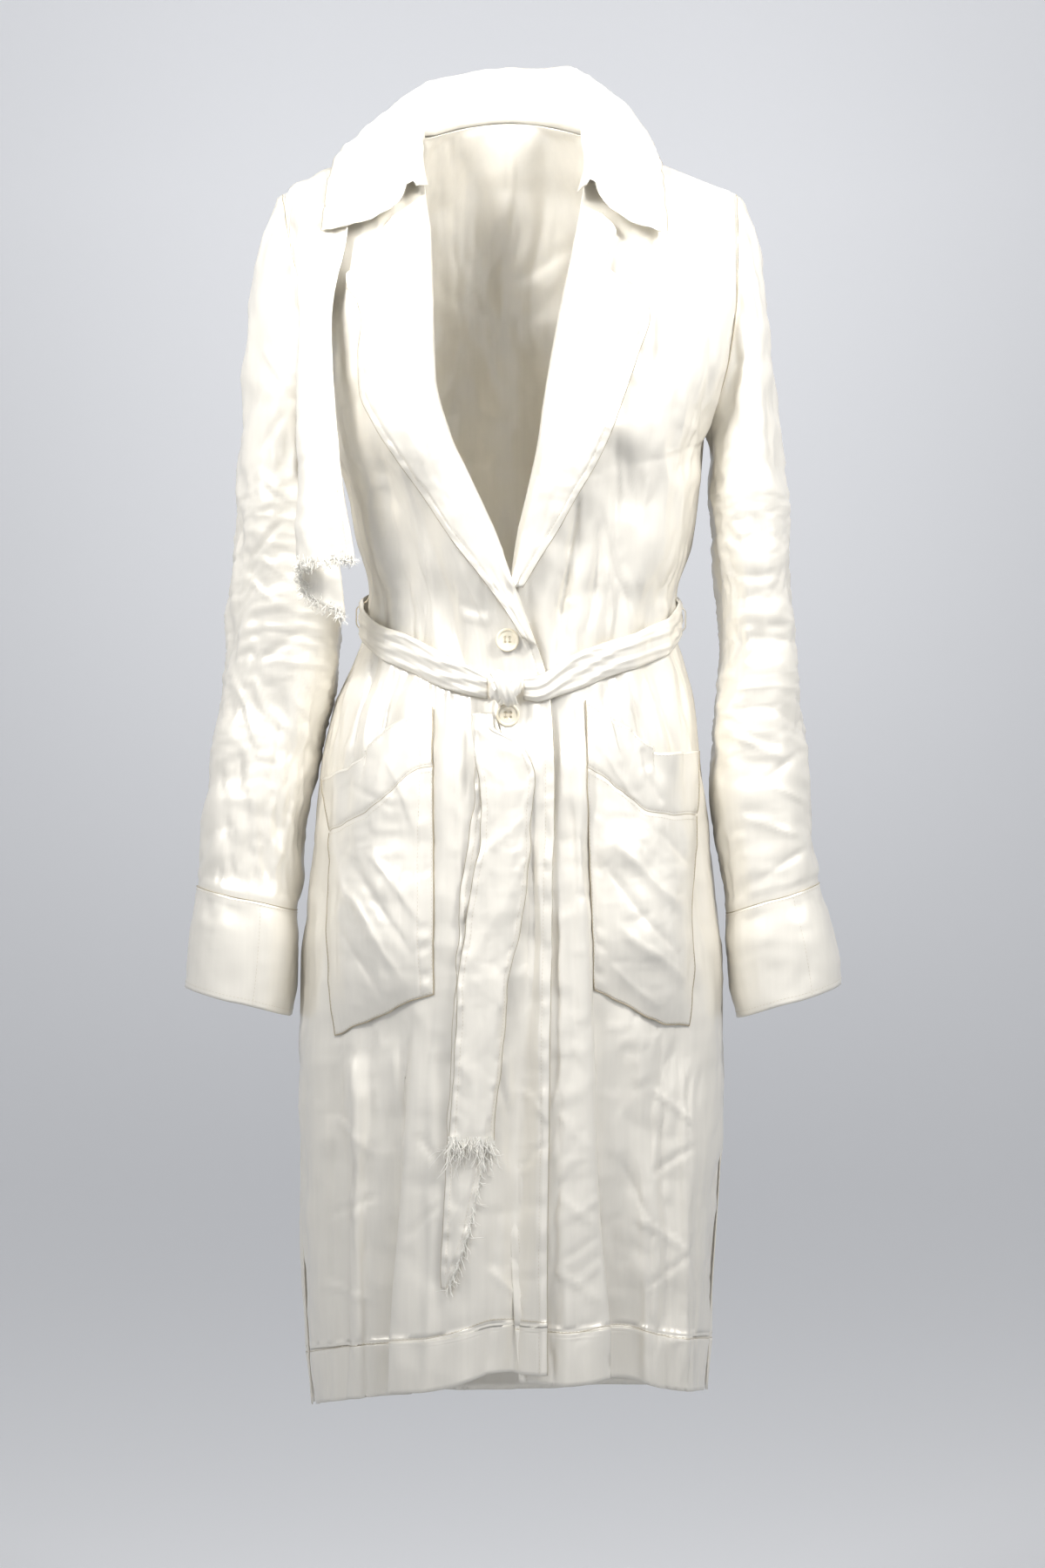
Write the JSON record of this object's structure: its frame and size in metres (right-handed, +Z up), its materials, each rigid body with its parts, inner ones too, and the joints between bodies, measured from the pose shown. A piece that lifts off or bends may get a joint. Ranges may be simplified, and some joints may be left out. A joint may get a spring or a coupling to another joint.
{
  "type": "trench coat",
  "caption": "Long loose trench coat in ivory satin, worn shape and hollow: wide lapels, storm flap on one shoulder, patch pockets, deep cuffs and a tied belt with frayed ends.",
  "frame": {"origin": "middle of the neck opening at shoulder height, where a hanger or a figure carries the coat", "axes": "+Z up, +Y towards the back, +X towards the wearer's left; the front faces -Y"},
  "size_m": [0.599, 0.3057, 1.2415],
  "materials": {
    "satin": "ivory satin with a soft sheen",
    "belt_satin": "the same satin, folded and topstitched",
    "frayed_edge": "loose ivory yarns, matt",
    "button": "cream, polished"
  },
  "bodies": {
    "root": {"back": "satin", "belt": "belt_satin", "belt_end_back": "belt_satin", "belt_end_front": "belt_satin", "belt_fringe_back": "frayed_edge", "belt_fringe_front": "frayed_edge", "belt_knot": "belt_satin", "belt_loop_left": "belt_satin", "belt_loop_right": "belt_satin", "button_bottom": "button", "button_top": "button", "collar": "satin", "cuff_left": "satin", "cuff_right": "satin", "front_left": "satin", "front_right": "satin", "lapel_left": "satin", "lapel_right": "satin", "pocket_left": "satin", "pocket_right": "satin", "sleeve_left": "satin", "sleeve_right": "satin", "storm_flap": "satin", "storm_flap_fringe": "frayed_edge"}
  },
  "joints": []
}
